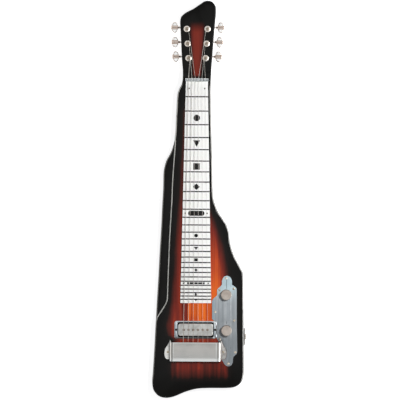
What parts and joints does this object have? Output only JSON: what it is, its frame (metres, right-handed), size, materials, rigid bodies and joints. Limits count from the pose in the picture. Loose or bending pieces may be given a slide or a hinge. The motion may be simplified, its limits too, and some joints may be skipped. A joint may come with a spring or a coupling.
{
  "type": "lap steel guitar",
  "caption": "Six string electric lap steel guitar: stepped solid body, white fingerboard, geared tuners, pickup, bridge under a bent cover, brushed control plate and side jack.",
  "frame": {"origin": "on the flat back, straight below the middle of the bridge saddle and on the line between the middle strings", "axes": "+Y from the bridge to the headstock along the strings, +X to the treble side, +Z out of the face"},
  "size_m": [0.2025, 0.8563, 0.0652],
  "materials": {
    "lacquered_wood": "gloss lacquer, dark sunburst from black edges through dark red to orange",
    "white_plastic": "white sheet plastic with black fret lines and markers",
    "chrome": "bright chrome plate",
    "chrome_cover": "chrome plated bent sheet, lightly satin",
    "screws": "nickel plated screw heads",
    "pickup_metal": "satin chrome cover",
    "coil_tape": "black cloth tape round the coil, on a brass base plate",
    "pole_steel": "nickel plated pole pieces",
    "brushed_plate": "steel brushed along the neck",
    "zinc_plate": "dull zinc plate",
    "nickel_knob": "satin nickel with a knurled side",
    "tuner_nickel": "bright nickel plate",
    "string_steel": "nickel wound and plain steel strings"
  },
  "bodies": {
    "root": {"body": "lacquered_wood", "fingerboard": "white_plastic", "nut": "chrome", "bridge_plate": "chrome", "bridge_saddle": "chrome", "bridge_cover": "chrome_cover", "bridge_cover_screw_bass": "screws", "bridge_cover_screw_treble": "screws", "pickup_ring": "chrome", "pickup_cover": "pickup_metal", "pickup_coil": "coil_tape", "pickup_poles": "pole_steel", "pickup_screw_bass": "screws", "pickup_screw_treble": "screws", "control_plate": "brushed_plate", "control_plate_screw_1": "screws", "control_plate_screw_2": "screws", "control_plate_screw_3": "screws", "control_plate_screw_4": "screws", "control_plate_screw_5": "screws", "control_plate_screw_6": "screws", "control_plate_screw_7": "screws", "control_plate_screw_8": "screws", "volume_pot": "zinc_plate", "tone_pot": "zinc_plate", "output_jack": "chrome", "jack_plate": "chrome", "jack_nut": "chrome", "tuner_1_housing": "tuner_nickel", "tuner_1_bushing": "tuner_nickel", "tuner_2_housing": "tuner_nickel", "tuner_2_bushing": "tuner_nickel", "tuner_3_housing": "tuner_nickel", "tuner_3_bushing": "tuner_nickel", "tuner_4_housing": "tuner_nickel", "tuner_4_bushing": "tuner_nickel", "tuner_5_housing": "tuner_nickel", "tuner_5_bushing": "tuner_nickel", "tuner_6_housing": "tuner_nickel", "tuner_6_bushing": "tuner_nickel", "string_1": "string_steel", "string_2": "string_steel", "string_3": "string_steel", "string_4": "string_steel", "string_5": "string_steel", "string_6": "string_steel"},
    "volume_knob": {"volume_knob": "nickel_knob"},
    "tone_knob": {"tone_knob": "nickel_knob"},
    "tuner_1_button": {"tuner_1_button": "tuner_nickel"},
    "tuner_1_post": {"tuner_1_post": "tuner_nickel"},
    "tuner_2_button": {"tuner_2_button": "tuner_nickel"},
    "tuner_2_post": {"tuner_2_post": "tuner_nickel"},
    "tuner_3_button": {"tuner_3_button": "tuner_nickel"},
    "tuner_3_post": {"tuner_3_post": "tuner_nickel"},
    "tuner_4_button": {"tuner_4_button": "tuner_nickel"},
    "tuner_4_post": {"tuner_4_post": "tuner_nickel"},
    "tuner_5_button": {"tuner_5_button": "tuner_nickel"},
    "tuner_5_post": {"tuner_5_post": "tuner_nickel"},
    "tuner_6_button": {"tuner_6_button": "tuner_nickel"},
    "tuner_6_post": {"tuner_6_post": "tuner_nickel"}
  },
  "joints": [
    {"name": "volume_turn", "type": "hinge", "parent": "root", "child": "volume_knob", "pos_m": [0.06526, 0.12631, 0.05], "axis": [0, 0, 1], "range_deg": [-150, 150]},
    {"name": "tone_turn", "type": "hinge", "parent": "root", "child": "tone_knob", "pos_m": [0.06619, 0.04959, 0.05], "axis": [0, 0, 1], "range_deg": [-150, 150]},
    {"name": "tuner_1_button_turn", "type": "hinge", "parent": "root", "child": "tuner_1_button", "pos_m": [-0.0185, 0.6396, 0.013], "axis": [1, 0, 0], "continuous": true},
    {"name": "tuner_1_post_turn", "type": "hinge", "parent": "root", "child": "tuner_1_post", "pos_m": [-0.0185, 0.635, 0.035], "axis": [0, 0, 1], "continuous": true},
    {"name": "tuner_2_button_turn", "type": "hinge", "parent": "root", "child": "tuner_2_button", "pos_m": [-0.02051, 0.67096, 0.013], "axis": [1, 0, 0], "continuous": true},
    {"name": "tuner_2_post_turn", "type": "hinge", "parent": "root", "child": "tuner_2_post", "pos_m": [-0.02051, 0.66636, 0.035], "axis": [0, 0, 1], "continuous": true},
    {"name": "tuner_3_button_turn", "type": "hinge", "parent": "root", "child": "tuner_3_button", "pos_m": [-0.02241, 0.70259, 0.013], "axis": [1, 0, 0], "continuous": true},
    {"name": "tuner_3_post_turn", "type": "hinge", "parent": "root", "child": "tuner_3_post", "pos_m": [-0.02241, 0.69799, 0.035], "axis": [0, 0, 1], "continuous": true},
    {"name": "tuner_4_button_turn", "type": "hinge", "parent": "root", "child": "tuner_4_button", "pos_m": [0.0185, 0.6396, 0.013], "axis": [1, 0, 0], "continuous": true},
    {"name": "tuner_4_post_turn", "type": "hinge", "parent": "root", "child": "tuner_4_post", "pos_m": [0.0185, 0.635, 0.035], "axis": [0, 0, 1], "continuous": true},
    {"name": "tuner_5_button_turn", "type": "hinge", "parent": "root", "child": "tuner_5_button", "pos_m": [0.02051, 0.67096, 0.013], "axis": [1, 0, 0], "continuous": true},
    {"name": "tuner_5_post_turn", "type": "hinge", "parent": "root", "child": "tuner_5_post", "pos_m": [0.02051, 0.66636, 0.035], "axis": [0, 0, 1], "continuous": true},
    {"name": "tuner_6_button_turn", "type": "hinge", "parent": "root", "child": "tuner_6_button", "pos_m": [0.02241, 0.70259, 0.013], "axis": [1, 0, 0], "continuous": true},
    {"name": "tuner_6_post_turn", "type": "hinge", "parent": "root", "child": "tuner_6_post", "pos_m": [0.02241, 0.69799, 0.035], "axis": [0, 0, 1], "continuous": true}
  ],
  "couplings": [
    {"joint": "tuner_1_post_turn", "follows": "tuner_1_button_turn", "ratio": 0.071429},
    {"joint": "tuner_2_post_turn", "follows": "tuner_2_button_turn", "ratio": 0.071429},
    {"joint": "tuner_3_post_turn", "follows": "tuner_3_button_turn", "ratio": 0.071429},
    {"joint": "tuner_4_post_turn", "follows": "tuner_4_button_turn", "ratio": 0.071429},
    {"joint": "tuner_5_post_turn", "follows": "tuner_5_button_turn", "ratio": 0.071429},
    {"joint": "tuner_6_post_turn", "follows": "tuner_6_button_turn", "ratio": 0.071429}
  ]
}
